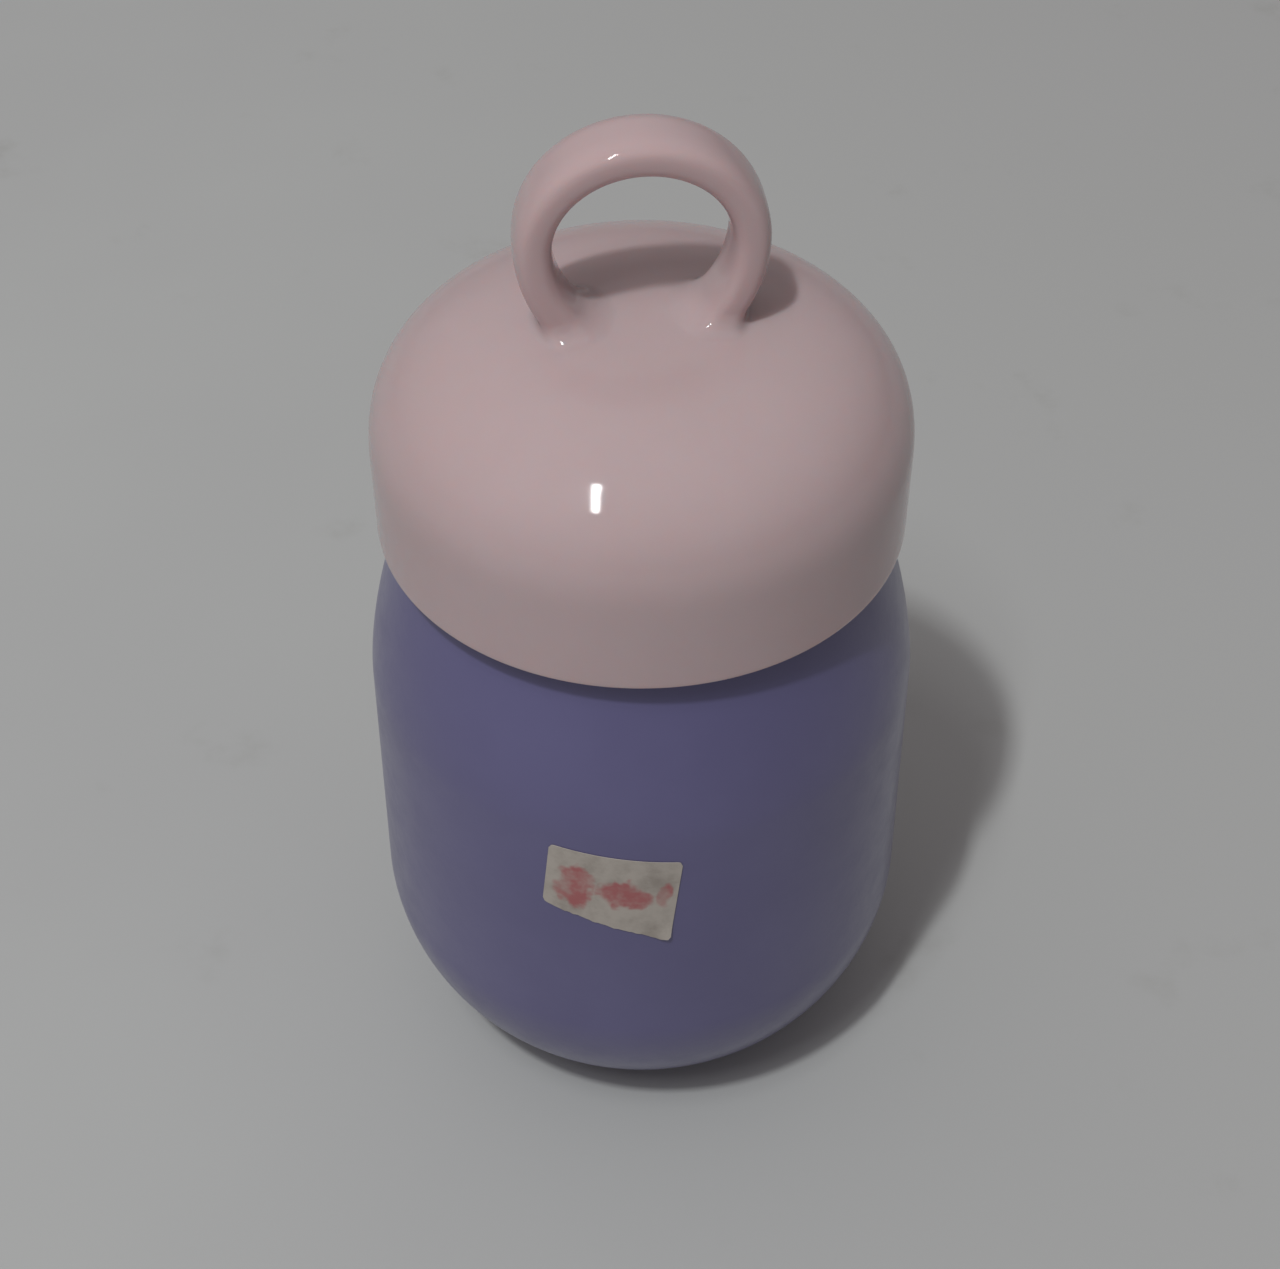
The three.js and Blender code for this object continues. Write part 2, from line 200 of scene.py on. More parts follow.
def body_curve(corner_steps=28, shoulder_steps=28):
    """The flask's outer curve, from its underside up to the step under the lid."""
    foot = (FOOT_RADIUS, SHELL_LOW.z)
    corner = quarter(foot, (WALL_RADIUS_LOW, CORNER_HEIGHT), CORNER_POWER, corner_steps, True)
    share = np.linspace(0, 1, shoulder_steps + 1)
    radii = WALL_RADIUS - (WALL_RADIUS - SEAM_RADIUS) * share**SHOULDER_POWER
    heights = SHOULDER_START + (SHELL_HIGH.z - SHOULDER_START) * share
    return corner + [(float(r), float(z)) for r, z in zip(radii, heights)]


def dome_height(radius):
    """Height of the dome's outside at a radius."""
    share = np.clip(np.asarray(radius) / CAP_HIGH.x, 0, 1) ** DOME_POWER
    return DOME_START + (DOME_TOP - DOME_START) * (1 - share) ** (1 / DOME_POWER)


# ---------------------------------------------------------------- meshes


def piece(name, vertices, faces, crease=SHARP):
    """A smooth-shaded mesh object with its sharp edges kept."""
    mesh = bpy.data.meshes.new(name)
    mesh.from_pydata([tuple(map(float, v)) for v in vertices], [], faces)
    mesh.validate()
    mesh.shade_smooth()
    mesh.set_sharp_from_angle(angle=math.radians(crease))
    made = bpy.data.objects.new(name, mesh)
    bpy.context.collection.objects.link(made)
    return made


def revolve(name, profile, segments=FINE, relief=None, crease=SHARP):
    """Turns a (radius, height) profile round +Z. It starts and ends on the axis, or closes on itself.
    relief(angles, heights, radii) gives the shift of each point's radius."""
    chain = [(r, z) for r, z, *_ in profile]
    on_axis = chain[0][0] == 0 and chain[-1][0] == 0
    area = sum(a[0] * b[1] - b[0] * a[1] for a, b in zip(chain, chain[1:] + chain[:1]))
    if area < 0:
        chain.reverse()
    rim = chain[1:-1] if on_axis else chain
    radii, heights = np.array(rim).T
    angles = np.arange(segments) / segments * 2 * math.pi
    turn, low = np.meshgrid(angles, heights, indexing="ij")
    reach = np.broadcast_to(radii, turn.shape)
    if relief:
        reach = reach + relief(turn, low, reach)
    grid = np.stack([reach * np.cos(turn), reach * np.sin(turn), low], -1)
    vertices = list(grid.reshape(-1, 3))
    rows = len(rim)
    faces = []
    for s in range(segments):
        here, after = s * rows, (s + 1) % segments * rows
        for row in range(rows - 1 if on_axis else rows):
            up = (row + 1) % rows
            faces.append((here + row, after + row, after + up, here + up))
    if on_axis:
        first, last = len(vertices), len(vertices) + 1
        vertices += [(0, 0, chain[0][1]), (0, 0, chain[-1][1])]
        for s in range(segments):
            here, after = s * rows, (s + 1) % segments * rows
            faces.append((first, after, here))
            faces.append((last, here + rows - 1, after + rows - 1))
    return piece(name, vertices, faces, crease)


def plate_between(name, front, back):
    """A closed thin solid between two grids of points, front facing out."""
    rows, columns = front.shape[:2]
    vertices = list(front.reshape(-1, 3)) + list(back.reshape(-1, 3))
    below = rows * columns
    faces = []
    for i in range(rows - 1):
        for j in range(columns - 1):
            a, b = i * columns + j, (i + 1) * columns + j
            faces.append((a, b, b + 1, a + 1))
            faces.append((below + a, below + a + 1, below + b + 1, below + b))
    rim = list(range(columns))
    rim += [i * columns + columns - 1 for i in range(1, rows)]
    rim += [(rows - 1) * columns + j for j in range(columns - 2, -1, -1)]
    rim += [i * columns for i in range(rows - 2, 0, -1)]
    for here, after in zip(rim, rim[1:] + rim[:1]):
        faces.append((here, after, below + after, below + here))
    return piece(name, vertices, faces)


# ---------------------------------------------------------------- materials


def node(tree, kind, inputs=None, **settings):
    made = tree.nodes.new(kind)
    for key, value in settings.items():
        setattr(made, key, value)
    for socket, value in (inputs or {}).items():
        if isinstance(value, bpy.types.NodeSocket):
            tree.links.new(value, made.inputs[socket])
        else:
            made.inputs[socket].default_value = value
    return made


def new_material(name, **sockets):
    """A Principled material with uniform values set on the shader's own sockets."""
    material = bpy.data.materials.new(name)
    material.use_nodes = True
    shader = material.node_tree.nodes["Principled BSDF"]
    for socket, value in sockets.items():
        shader.inputs[socket.replace("_", " ")].default_value = value
    return material, material.node_tree, shader


def object_coordinates(tree):
    return node(tree, "ShaderNodeTexCoord").outputs["Object"]


def turned_coordinates(tree, round_scale, cross_scale):
    """Coordinates that follow the axis: angle, height and radius, for marks that run round the piece."""
    place = node(tree, "ShaderNodeSeparateXYZ", {0: object_coordinates(tree)})
    x, y, z = place.outputs
    angle = node(tree, "ShaderNodeMath", {0: y, 1: x}, operation="ARCTAN2").outputs[0]
    squares = node(tree, "ShaderNodeMath", {0: x, 1: x}, operation="MULTIPLY").outputs[0]
    total = node(tree, "ShaderNodeMath", {0: y, 1: y, 2: squares}, operation="MULTIPLY_ADD").outputs[0]
    radius = node(tree, "ShaderNodeMath", {0: total, 1: 0.5}, operation="POWER").outputs[0]
    joined = node(tree, "ShaderNodeCombineXYZ", {0: angle, 1: z, 2: radius}).outputs[0]
    scale = (round_scale, cross_scale, cross_scale)
    return node(tree, "ShaderNodeVectorMath", {0: joined, 1: scale}, operation="MULTIPLY").outputs[0]


def noise(tree, vector, scale, detail=3.0, rough=0.55):
    inputs = {"Vector": vector, "Scale": scale, "Detail": detail, "Roughness": rough}
    return node(tree, "ShaderNodeTexNoise", inputs).outputs["Fac"]


def spread(tree, value, low, high, out_low, out_high):
    """Maps a value smoothly from one range to another."""
    inputs = {"Value": value, "From Min": low, "From Max": high, "To Min": out_low, "To Max": out_high}
    return node(tree, "ShaderNodeMapRange", inputs, interpolation_type="SMOOTHSTEP").outputs[0]


def mix_colour(tree, share, first, second):
    made = node(tree, "ShaderNodeMix", data_type="RGBA")
    sockets = (made.inputs[0], made.inputs[6], made.inputs[7])
    for socket, value in zip(sockets, (share, first, second)):
        if isinstance(value, bpy.types.NodeSocket):
            tree.links.new(value, socket)
        else:
            socket.default_value = value
    return made.outputs[2]


def bump(tree, shader, height, distance):
    made = node(tree, "ShaderNodeBump", {"Height": height, "Distance": distance}).outputs[0]
    tree.links.new(made, shader.inputs["Normal"])


LILAC = (0.122, 0.112, 0.247, 1)
LILAC_DEEP = (0.112, 0.102, 0.230, 1)
LILAC_DUST = (0.22, 0.21, 0.30, 1)
PINK = (0.545, 0.418, 0.434, 1)
PINK_WARM = (0.530, 0.398, 0.409, 1)
PAPER = (0.47, 0.425, 0.385, 1)
PAPER_DIRTY = (0.33, 0.29, 0.26, 1)
INK = (0.40, 0.125, 0.13, 1)


def lilac_coat():
    """Satin lacquer over steel: fine orange peel, faint clouding, light scuffs, and dust near the foot."""
    material, tree, shader = new_material("lilac_coat", Coat_Weight=0.35, Coat_Roughness=0.22)
    place = object_coordinates(tree)
    cloud = spread(tree, noise(tree, place, 38), 0.35, 0.65, 0, 1)
    colour = mix_colour(tree, cloud, LILAC, LILAC_DEEP)
    height = node(tree, "ShaderNodeSeparateXYZ", {0: place}).outputs[2]
    near_foot = spread(tree, height, 0.002, 0.020, 1, 0)
    specks = spread(tree, noise(tree, place, 900, 2), 0.62, 0.72, 0, 0.6)
    dust = node(tree, "ShaderNodeMath", {0: near_foot, 1: specks}, operation="MULTIPLY").outputs[0]
    colour = mix_colour(tree, dust, colour, LILAC_DUST)
    tree.links.new(colour, shader.inputs["Base Color"])
    scuffs = noise(tree, turned_coordinates(tree, 6, 160), 1, 5, 0.7)
    tree.links.new(spread(tree, scuffs, 0.3, 0.75, 0.30, 0.40), shader.inputs["Roughness"])
    bump(tree, shader, noise(tree, place, 1100, 2), 0.000012)
    return material


def pink_plastic():
    """Glossy moulded plastic: light comes a little way in, with a faint flow pattern and finger smears."""
    material, tree, shader = new_material(
        "pink_plastic",
        Subsurface_Weight=0.5,
        Subsurface_Radius=(0.0055, 0.0022, 0.0016),
        Subsurface_Scale=1.0,
    )
    place = object_coordinates(tree)
    flow = spread(tree, noise(tree, place, 26, 4), 0.35, 0.65, 0, 1)
    tree.links.new(mix_colour(tree, flow, PINK, PINK_WARM), shader.inputs["Base Color"])
    smears = noise(tree, place, 75, 6, 0.65)
    tree.links.new(spread(tree, smears, 0.4, 0.7, 0.05, 0.09), shader.inputs["Roughness"])
    bump(tree, shader, noise(tree, place, 300, 2), 0.000003)
    return material


def bare_steel():
    """Stainless steel, brushed round the axis."""
    material, tree, shader = new_material("bare_steel", Metallic=1.0)
    lines = noise(tree, turned_coordinates(tree, 2.5, 5200), 1, 3, 0.6)
    shade = spread(tree, lines, 0.3, 0.7, 0, 1)
    steel = mix_colour(tree, shade, (0.66, 0.66, 0.67, 1), (0.50, 0.50, 0.515, 1))
    tree.links.new(steel, shader.inputs["Base Color"])
    tree.links.new(spread(tree, lines, 0.3, 0.7, 0.20, 0.36), shader.inputs["Roughness"])
    bump(tree, shader, lines, 0.000010)
    return material


def white_plastic():
    material, tree, shader = new_material("white_plastic", Subsurface_Weight=0.08, Subsurface_Scale=0.003)
    place = object_coordinates(tree)
    cloud = spread(tree, noise(tree, place, 60), 0.35, 0.65, 0, 1)
    white = mix_colour(tree, cloud, (0.80, 0.79, 0.76, 1), (0.75, 0.74, 0.705, 1))
    tree.links.new(white, shader.inputs["Base Color"])
    grain = noise(tree, place, 1500, 2)
    tree.links.new(spread(tree, grain, 0.3, 0.7, 0.34, 0.44), shader.inputs["Roughness"])
    bump(tree, shader, grain, 0.000012)
    return material


def foam():
    """Closed-cell foam: small round cells pressed into the surface."""
    material, tree, shader = new_material("foam", Roughness=0.9)
    place = object_coordinates(tree)
    cells = node(tree, "ShaderNodeTexVoronoi", {"Vector": place, "Scale": 900.0}).outputs["Distance"]
    share = spread(tree, cells, 0, 0.6, 0, 1)
    shade = mix_colour(tree, share, (0.88, 0.87, 0.84, 1), (0.74, 0.73, 0.70, 1))
    tree.links.new(shade, shader.inputs["Base Color"])
    bump(tree, shader, cells, 0.00015)
    return material


def silicone():
    material, tree, shader = new_material("silicone", Subsurface_Weight=0.4, Subsurface_Scale=0.002)
    place = object_coordinates(tree)
    cloud = spread(tree, noise(tree, place, 140), 0.35, 0.65, 0, 1)
    milky = mix_colour(tree, cloud, (0.78, 0.79, 0.79, 1), (0.70, 0.71, 0.72, 1))
    tree.links.new(milky, shader.inputs["Base Color"])
    grain = noise(tree, place, 1300, 2)
    tree.links.new(spread(tree, grain, 0.3, 0.7, 0.42, 0.55), shader.inputs["Roughness"])
    return material


def pad_rubber():
    """Matte rubber with a fine pebble grain, scuffed grey where it stands."""
    material, tree, shader = new_material("pad_rubber")
    place = object_coordinates(tree)
    scuff = spread(tree, noise(tree, place, 260, 5, 0.7), 0.5, 0.75, 0, 1)
    colour = mix_colour(tree, scuff, (0.14, 0.13, 0.19, 1), (0.27, 0.26, 0.30, 1))
    tree.links.new(colour, shader.inputs["Base Color"])
    tree.links.new(spread(tree, scuff, 0, 1, 0.62, 0.85), shader.inputs["Roughness"])
    grain = node(tree, "ShaderNodeTexVoronoi", {"Vector": place, "Scale": 1600.0}).outputs["Distance"]
    bump(tree, shader, grain, 0.00006)
    return material


def solder_glass():
    material, tree, shader = new_material("solder_glass", Coat_Weight=0.6, Coat_Roughness=0.05)
    cloud = noise(tree, object_coordinates(tree), 900, 4)
    share = spread(tree, cloud, 0.3, 0.7, 0, 1)
    dark = mix_colour(tree, share, (0.05, 0.055, 0.06, 1), (0.13, 0.14, 0.15, 1))
    tree.links.new(dark, shader.inputs["Base Color"])
    tree.links.new(spread(tree, cloud, 0.3, 0.7, 0.08, 0.25), shader.inputs["Roughness"])
    return material


def getter_metal():
    material, tree, shader = new_material("getter_metal", Metallic=0.8)
    grains = noise(tree, object_coordinates(tree), 2600, 3)
    share = spread(tree, grains, 0.3, 0.7, 0, 1)
    grey = mix_colour(tree, share, (0.16, 0.16, 0.17, 1), (0.30, 0.30, 0.31, 1))
    tree.links.new(grey, shader.inputs["Base Color"])
    tree.links.new(spread(tree, grains, 0.3, 0.7, 0.45, 0.75), shader.inputs["Roughness"])
    bump(tree, shader, grains, 0.00003)
    return material


def ink_mark(tree, across, up, centre, half):
    """1 inside a soft-edged oval of the label's plane, 0 outside it."""
    squares = []
    for value, middle, reach in ((across, centre[0], half[0]), (up, centre[1], half[1])):
        away = node(tree, "ShaderNodeMath", {0: value, 1: -middle}, operation="ADD").outputs[0]
        share = node(tree, "ShaderNodeMath", {0: away, 1: reach}, operation="DIVIDE").outputs[0]
        squares.append(node(tree, "ShaderNodeMath", {0: share, 1: 2.0}, operation="POWER").outputs[0])
    total = node(tree, "ShaderNodeMath", {0: squares[0], 1: squares[1]}, operation="ADD").outputs[0]
    ragged = spread(tree, noise(tree, object_coordinates(tree), 420, 2), 0.3, 0.7, -0.45, 0.45)
    total = node(tree, "ShaderNodeMath", {0: total, 1: ragged}, operation="ADD").outputs[0]
    return spread(tree, total, 0.45, 1.35, 1, 0)


def label_paper():
    """Uncoated cream paper, soiled in patches, with three smudges of worn red stamp ink that say nothing."""
    material, tree, shader = new_material("label_paper", Roughness=0.85)
    plane = node(tree, "ShaderNodeUVMap", uv_map="label").outputs[0]
    across, up, _ = node(tree, "ShaderNodeSeparateXYZ", {0: plane}).outputs
    place = object_coordinates(tree)
    soil = spread(tree, noise(tree, place, 160, 5, 0.65), 0.42, 0.75, 0, 1)
    paper = mix_colour(tree, soil, PAPER, PAPER_DIRTY)
    # Centre and half size of each smudge, in millimetres in the label's plane
    first = ink_mark(tree, across, up, (-5.0, -0.3), (2.5, 4.2))
    second = ink_mark(tree, across, up, (1.9, -0.3), (3.6, 2.9))
    third = ink_mark(tree, across, up, (7.3, 0.4), (1.1, 2.2))
    ink = node(tree, "ShaderNodeMath", {0: first, 1: second}, operation="MAXIMUM").outputs[0]
    ink = node(tree, "ShaderNodeMath", {0: ink, 1: third}, operation="MAXIMUM").outputs[0]
    worn = spread(tree, noise(tree, place, 260, 3, 0.6), 0.34, 0.62, 0.4, 0.95)
    share = node(tree, "ShaderNodeMath", {0: ink, 1: worn}, operation="MULTIPLY").outputs[0]
    tree.links.new(mix_colour(tree, share, paper, INK), shader.inputs["Base Color"])
    bump(tree, shader, noise(tree, place, 700, 6, 0.7), 0.00003)
    return material


MATERIALS = {
    "lilac_coat": lilac_coat(),
    "pink_plastic": pink_plastic(),
    "bare_steel": bare_steel(),
    "white_plastic": white_plastic(),
    "foam": foam(),
    "silicone": silicone(),
    "pad_rubber": pad_rubber(),
    "solder_glass": solder_glass(),
    "getter_metal": getter_metal(),
    "label_paper": label_paper(),
}


def fit(made, slot, body, cad_node):
    """Gives a piece its material and its body, and hides the CAD node that it stands for."""
    made.data.materials.append(MATERIALS[slot])
    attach(made, body)
    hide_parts(cad_node)
    return made


# ---------------------------------------------------------------- the flask


def thread_relief(wall, rib, delay, sweep, first, lowest, highest):
    """The screw thread as a shift of the radius on one wall: rib is positive outwards."""

    def shift(angles, heights, radii):
        on_wall = (np.abs(radii - wall) < 0.05 * MM) & (heights > lowest) & (heights < highest)
        total = np.zeros_like(angles)
        for start in range(THREAD_STARTS):
            for turn in (-1, 0, 1):
                begin = start / THREAD_STARTS * 2 * math.pi + delay
                along = angles - begin + turn * 2 * math.pi
                middle = first + THREAD_LEAD * along / (2 * math.pi)
                away = np.abs(heights - middle)
                side = np.clip((THREAD_ROOT / 2 + 0.1 * MM - away) / ((THREAD_ROOT - THREAD_CREST) / 2), 0, 1)
                ends = np.clip(np.minimum(along, sweep - along) / RUN_OUT, 0, 1)
                smooth = side * side * (3 - 2 * side) * ends * ends * (3 - 2 * ends)
                total = np.maximum(total, smooth)
        return np.where(on_wall, rib * total, 0)

    return shift


def wall_rows(radius, low, high, spacing):
    """Points up a straight wall, close enough together to carry a thread."""
    count = int(abs(high - low) / spacing) + 1
    return [(radius, float(z)) for z in np.linspace(low, high, count + 1)]


def outer_shell():
    outside = body_curve()
    inside = offset(outside, STEEL)
    inside = [(r, min(z, SHELL_HIGH.z - STEEL)) for r, z in inside]
    hole = NECK_RADIUS + 0.15 * MM
    step = [
        (outside[-1][0], SHELL_HIGH.z, 0.9 * MM),
        (hole, SHELL_HIGH.z),
        (hole, SHELL_HIGH.z - STEEL),
    ]
    foot = [(FOOT_RADIUS, SHELL_LOW.z + STEEL)]
    profile = rounded(outside[:-1] + step + inside[::-1][1:-1] + foot)
    return revolve("outer_shell_visual", profile)


def inner_liner():
    lip = LINER_HIGH.z
    outside = [(0, LINER_LOW.z)]
    outside += quarter(
        (LINER_FLAT, LINER_LOW.z),
        (LINER_HIGH.x, LINER_LOW.z + LINER_CORNER),
        CORNER_POWER,
        16,
        True,
    )
    outside += quarter((LINER_HIGH.x, LINER_SHOULDER), (LINER_NECK, LINER_NECK_START), 2, 14, False)
    inside = offset(outside, STEEL)
    inside[0] = (0, LINER_LOW.z + STEEL)
    bore = LINER_NECK - STEEL
    inside[-1] = (bore, LINER_NECK_START - STEEL, 1.2 * MM)
    profile = rounded(
        outside
        + [
            (LINER_NECK, lip - STEEL),
            (NECK_RADIUS, lip - STEEL, 0.25 * MM),
            (NECK_RADIUS, lip, 0.5 * MM),
            (bore, lip, 0.5 * MM),
        ]
        + inside[::-1]
    )
    return revolve("inner_liner_visual", profile)


def neck_ring():
    top = NECK_HIGH.z
    shoulder = NECK_LOW.z + FLANGE
    profile = rounded(
        [
            (NECK_BORE, NECK_LOW.z),
            (NECK_HIGH.x, NECK_LOW.z, 0.3 * MM),
            (NECK_HIGH.x, shoulder, 0.3 * MM),
            (NECK_RADIUS, shoulder),
        ]
        + wall_rows(NECK_RADIUS, SHELL_HIGH.z, top - 0.3 * MM, THREAD_ROW)
        + [(NECK_RADIUS, top, 0.2 * MM), (NECK_BORE, top)]
    )
    first = SHELL_HIGH.z + NECK_RIB_LIFT
    relief = thread_relief(NECK_RADIUS, NECK_RIB, 0, NECK_RIB_SWEEP, first, SHELL_HIGH.z, top)
    return revolve("neck_ring_visual", profile, FINE_THREADED, relief, SHARP_THREADED)


def base_plate():
    """A pressed plate: a dimple with its hole in the middle of a shallow dish, and a flat edge."""
    under, top = PLATE_LOW.z, PLATE_HIGH.z
    roof = top - STEEL
    edge = under + DISH_STEP
    profile = rounded(
        [
            (DIMPLE_HOLE, roof),
            (DIMPLE_RADIUS, roof, 0.3 * MM),
            (DIMPLE_RIM, under, 0.4 * MM),
            (DISH_RADIUS, under, 0.3 * MM),
            (DISH_RADIUS + DISH_STEP, edge, 0.3 * MM),
            (PLATE_HIGH.x, edge),
            (PLATE_HIGH.x, edge + STEEL),
            (DISH_RADIUS, edge + STEEL, 0.3 * MM),
            (DIMPLE_RIM + 0.6 * MM, under + STEEL, 0.3 * MM),
            (DIMPLE_RIM, top, 0.3 * MM),
            (DIMPLE_HOLE, top),
        ]
    )
    return revolve("base_plate_visual", profile)


def base_pad():
    """The pad's underside has shallow grip rings."""
    radius, top = PAD_HIGH.x, PAD_HIGH.z
    groove, width = 0.35 * MM, 1.0 * MM
    under = [(0, 0)]
    ring = 4 * MM
    while ring < radius - 2.5 * MM:
        under += [
            (ring, 0, 0.12 * MM),
            (ring + 0.2 * MM, groove, 0.12 * MM),
            (ring + width, groove, 0.12 * MM),
            (ring + width + 0.2 * MM, 0, 0.12 * MM),
        ]
        ring += 3.4 * MM
    profile = rounded(under + [(radius, 0, 0.5 * MM), (radius, top, 0.3 * MM), (0, top)], 3)
    return revolve("base_pad_visual", profile, 128)


def seal_bead():
    """A drop of glass: flat where it wets the dimple, round below."""
    radius, low, high = BEAD_HIGH.x, BEAD_LOW.z, BEAD_HIGH.z
    drop = quarter((0, low), (radius, (low + high) / 2), 2, 8, True)
    neck = quarter((radius, (low + high) / 2), (radius * 0.7, high), 2, 5, False)
    return revolve("vacuum_seal_bead_visual", drop + neck[1:] + [(0, high)], 48)


def getter():
    """A pressed puck in a shallow metal tray."""
    radius = (GETTER_HIGH.x - GETTER_LOW.x) / 2
    low, high = GETTER_LOW.z, GETTER_HIGH.z
    tray = radius - 0.5 * MM
    profile = rounded(
        [
            (0, low),
            (radius, low, 0.25 * MM),
            (radius, high, 0.2 * MM),
            (tray, high, 0.2 * MM),
            (tray - 0.2 * MM, high - 0.5 * MM, 0.2 * MM),
            (0, high - 0.35 * MM),
        ]
    )
    made = revolve("vacuum_getter_visual", profile, 64)
    made.location.x = (GETTER_LOW.x + GETTER_HIGH.x) / 2
    return made


def price_label():
    """The sticker follows the wall. Its lower edge is torn at a slant, and its lower right corner lifts."""
    dice = random.Random(7)
    columns, rows = 61, 45
    corner, paper, clear = 0.7 * MM, 0.11 * MM, 0.05 * MM
    width = np.linspace(-LABEL_HALF_WIDTH, LABEL_HALF_WIDTH, columns)
    inset = np.clip(corner - (LABEL_HALF_WIDTH - np.abs(width)), 0, corner)
    trim = corner - np.sqrt(corner**2 - inset**2)
    share = (width + LABEL_HALF_WIDTH) / (2 * LABEL_HALF_WIDTH)
    ragged = np.array([dice.uniform(-1, 1) for _ in width])
    ragged = np.convolve(np.pad(ragged, 1, "edge"), (0.25, 0.5, 0.25), "valid") * 0.22 * MM
    bottom = LABEL_BOTTOM_LEFT + (LABEL_BOTTOM_RIGHT - LABEL_BOTTOM_LEFT) * share + trim + ragged
    top = LABEL_TOP - trim
    climb = np.linspace(0, 1, rows)[:, None]
    across = np.broadcast_to(width, (rows, columns))
    up = bottom + (top - bottom) * climb
    flat_x = across * math.cos(LABEL_TILT) - up * math.sin(LABEL_TILT)
    flat_z = across * math.sin(LABEL_TILT) + up * math.cos(LABEL_TILT)
    level = LABEL_LEVEL + flat_z
    radii, heights = np.array(body_curve()).T
    wall = np.interp(level, heights, radii)
    corner_away = np.hypot(across - LABEL_HALF_WIDTH, up - LABEL_BOTTOM_RIGHT)
    lift = 0.45 * MM * np.clip(1 - corner_away / (4 * MM), 0, 1) ** 2
    angle = LABEL_TURN + flat_x / wall
    grids = []
    for thickness in (paper, 0):
        reach = wall + clear + lift + thickness
        grids.append(np.stack([reach * np.sin(angle), -reach * np.cos(angle), level], -1))
    front, back = (grid.transpose(1, 0, 2) for grid in grids)
    made = plate_between("price_label_visual", front, back)
    plane = np.stack([across, up], -1).transpose(1, 0, 2).reshape(-1, 2) / MM
    both = np.concatenate([plane, plane])
    layer = made.data.uv_layers.new(name="label")
    for loop in made.data.loops:
        layer.data[loop.index].uv = both[loop.vertex_index]
    return made


# ---------------------------------------------------------------- the lid


def loop_lines():
    """The finger loop's surface as lines along the band, each ending where it meets the dome. The ends flare
    into the dome with a fillet. Returns points[line, step, xyz]."""
    around, steps = 56, 160
    spin = np.arange(around) / around * 2 * math.pi
    power = 2 / LOOP_POWER
    across = np.sign(np.cos(spin)) * np.abs(np.cos(spin)) ** power * LOOP_THICKNESS / 2
    deep = np.sign(np.sin(spin)) * np.abs(np.sin(spin)) ** power * LOOP_DEPTH / 2

    def at(angle, thick, y):
        rise = np.where(np.cos(angle) > 0, LOOP_CROWN, LOOP_DROP)
        nx, nz = rise * np.sin(angle), LOOP_HALF_WIDTH * np.cos(angle)
        size = np.hypot(nx, nz)
        x = LOOP_HALF_WIDTH * np.sin(angle)
        z = LOOP_LEVEL + rise * np.cos(angle)
        return np.stack([x + thick * nx / size, y + 0 * x, z + thick * nz / size], -1)

    def clearance(points):
        """Distance above the dome, along its normal."""
        radius = np.hypot(points[..., 0], points[..., 1])
        slope = (dome_height(radius + 1e-5) - dome_height(np.maximum(radius - 1e-5, 0))) / 2e-5
        return (points[..., 2] - dome_height(radius)) / np.sqrt(1 + slope**2)

    low, high = np.full(around, math.radians(90)), np.full(around, math.radians(165))
    for _ in range(40):
        middle = (low + high) / 2
        above = clearance(at(middle, across, deep)) > 0
        low, high = np.where(above, middle, low), np.where(above, high, middle)
    share = np.sin(np.linspace(-1, 1, steps + 1) * math.pi / 2)
    angle = low[:, None] * share[None]
    points = at(angle, across[:, None], deep[:, None])
    middle_line = at(angle, 0 * angle, 0 * angle)
    left = np.clip(clearance(points), 0, None)
    near = np.clip(LOOP_FILLET - left, 0, LOOP_FILLET)
    flare = LOOP_FILLET - np.sqrt(LOOP_FILLET**2 - near**2)
    outward = (points - middle_line)[..., :2]
    outward /= np.maximum(np.linalg.norm(outward, axis=-1, keepdims=True), 1e-9)
    flared = points.copy()
    flared[..., :2] += outward * flare[..., None]
    radius = np.hypot(flared[..., 0], flared[..., 1])
    weight = np.clip(near / LOOP_FILLET, 0, 1)
    drop = dome_height(np.hypot(points[..., 0], points[..., 1])) - dome_height(radius)
    flared[..., 2] -= drop * weight
    return flared


def finger_loop():
    lines = loop_lines()
    sunk = 0.8 * MM
    ends = [lines[:, :1] - (0, 0, sunk), lines[:, -1:] - (0, 0, sunk)]
    grid = np.concatenate([ends[0], lines, ends[1]], 1)
    around, steps = grid.shape[:2]
    vertices = list(grid.reshape(-1, 3))
    faces = []
    for i in range(around):
        here, after = i * steps, (i + 1) % around * steps
        for j in range(steps - 1):
            faces.append((here + j, here + j + 1, after + j + 1, after + j))
    for j, turned in ((0, False), (steps - 1, True)):
        middle = len(vertices)
        vertices.append(grid[:, j].mean(0))
        for i in range(around):
            here, after = i * steps + j, (i + 1) % around * steps + j
            faces.append((middle, after, here) if turned else (middle, here, after))
    return piece("finger_loop", vertices, faces)


